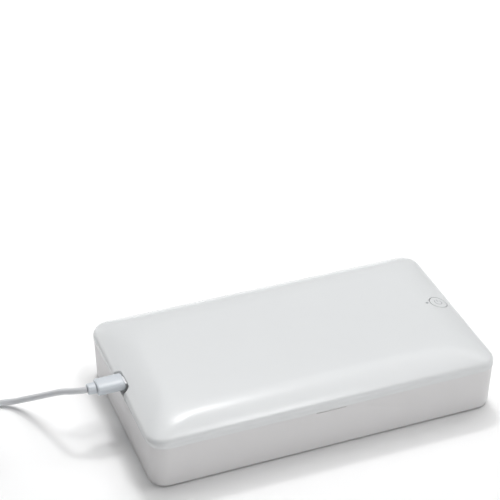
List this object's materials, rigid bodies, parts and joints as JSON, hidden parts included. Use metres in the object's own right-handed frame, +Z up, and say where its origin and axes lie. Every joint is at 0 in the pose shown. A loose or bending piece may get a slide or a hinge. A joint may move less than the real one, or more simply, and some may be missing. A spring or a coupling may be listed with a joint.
{
  "type": "uv sterilization chamber",
  "caption": "Flat box-shaped ultraviolet sterilizing chamber with a lift-off lid, a push button and a plug-in charging lead.",
  "frame": {"origin": "under the middle of the box, on the surface that its feet stand on", "axes": "+X along the box's length, away from its socket and towards its button; +Z up"},
  "size_m": [0.3304, 0.1169, 0.0364],
  "materials": {
    "shell_white": "satin",
    "tray_white": "satin",
    "liner_white": "satin",
    "foot_rubber": "matt",
    "plug_plastic": "satin",
    "lead_jacket": "satin",
    "board_green": "matt",
    "board_white": "matt",
    "bright_steel": "bright",
    "screw_steel": "satin",
    "black_plastic": "matt",
    "nylon": "matt",
    "ceramic": "satin",
    "capacitor_tan": "satin",
    "inductor_grey": "matt",
    "clear_plastic": "clear",
    "wire_red": "satin",
    "wire_black": "satin",
    "tie_black": "matt"
  },
  "bodies": {
    "base": {"tray_shell": "tray_white", "foot_front_left": "foot_rubber", "foot_front_right": "foot_rubber", "foot_back_left": "foot_rubber", "foot_back_right": "foot_rubber", "charge_lead": "lead_jacket", "lead_coil": "lead_jacket", "lead_tail": "lead_jacket", "coil_tie": "tie_black", "supply_plug_relief": "plug_plastic", "supply_plug_body": "plug_plastic", "supply_plug_shell": "bright_steel", "supply_plug_tongue": "board_white"},
    "lid": {"lid_cover": "shell_white", "lid_liner": "liner_white", "emitter_strip": "board_white", "uv_emitter_1": "ceramic", "uv_emitter_2": "ceramic", "uv_emitter_3": "ceramic", "uv_emitter_4": "ceramic", "strip_screw_1": "screw_steel", "strip_screw_2": "screw_steel", "strip_screw_3": "screw_steel", "main_board": "board_green", "main_board_screw_1": "screw_steel", "main_board_screw_2": "screw_steel", "pad_screw_1": "screw_steel", "pad_screw_2": "screw_steel", "usb_socket_shell": "bright_steel", "usb_socket_tongue": "black_plastic", "interlock_switch": "black_plastic", "control_chip": "black_plastic", "boost_inductor": "inductor_grey", "capacitor_1": "capacitor_tan", "capacitor_2": "capacitor_tan", "capacitor_3": "capacitor_tan", "strip_connector": "nylon", "key_connector": "nylon", "strip_wire_1": "wire_red", "strip_wire_2": "wire_red", "key_wire_1": "wire_black", "key_wire_2": "wire_black", "key_wire_3": "wire_black", "key_board": "board_green", "key_board_screw_1": "screw_steel", "key_board_screw_2": "screw_steel", "tact_switch": "bright_steel", "indicator_lamp": "clear_plastic", "light_pipe": "clear_plastic"},
    "power_button": {"power_button": "shell_white"},
    "tact_plunger": {"tact_plunger": "black_plastic"},
    "interlock_plunger": {"interlock_plunger": "nylon"},
    "usb_plug": {"usb_plug_nose": "bright_steel", "usb_plug_body": "plug_plastic", "usb_plug_collar": "plug_plastic"}
  },
  "joints": [
    {"name": "lid_lift", "type": "slide", "parent": "base", "child": "lid", "axis": [0, 0, 1], "range_m": [0, 0.06], "deforming": ["charge_lead"]},
    {"name": "button_press", "type": "slide", "parent": "lid", "child": "power_button", "axis": [0, 0, -1], "range_m": [0, 0.0005], "stiffness_N_per_m": 800, "springref_m": -0.0003},
    {"name": "tact_press", "type": "slide", "parent": "lid", "child": "tact_plunger", "axis": [0, 0, -1], "range_m": [0, 0.00025]},
    {"name": "interlock_press", "type": "slide", "parent": "lid", "child": "interlock_plunger", "axis": [0, 0, 1], "range_m": [0, 0.00035], "stiffness_N_per_m": 300, "springref_m": -0.0003},
    {"name": "usb_unplug", "type": "slide", "parent": "lid", "child": "usb_plug", "axis": [-1, 0, 0], "range_m": [0, 0.006], "deforming": ["charge_lead"]}
  ],
  "couplings": [
    {"joint": "tact_press", "follows": "button_press", "ratio": 0.5}
  ]
}
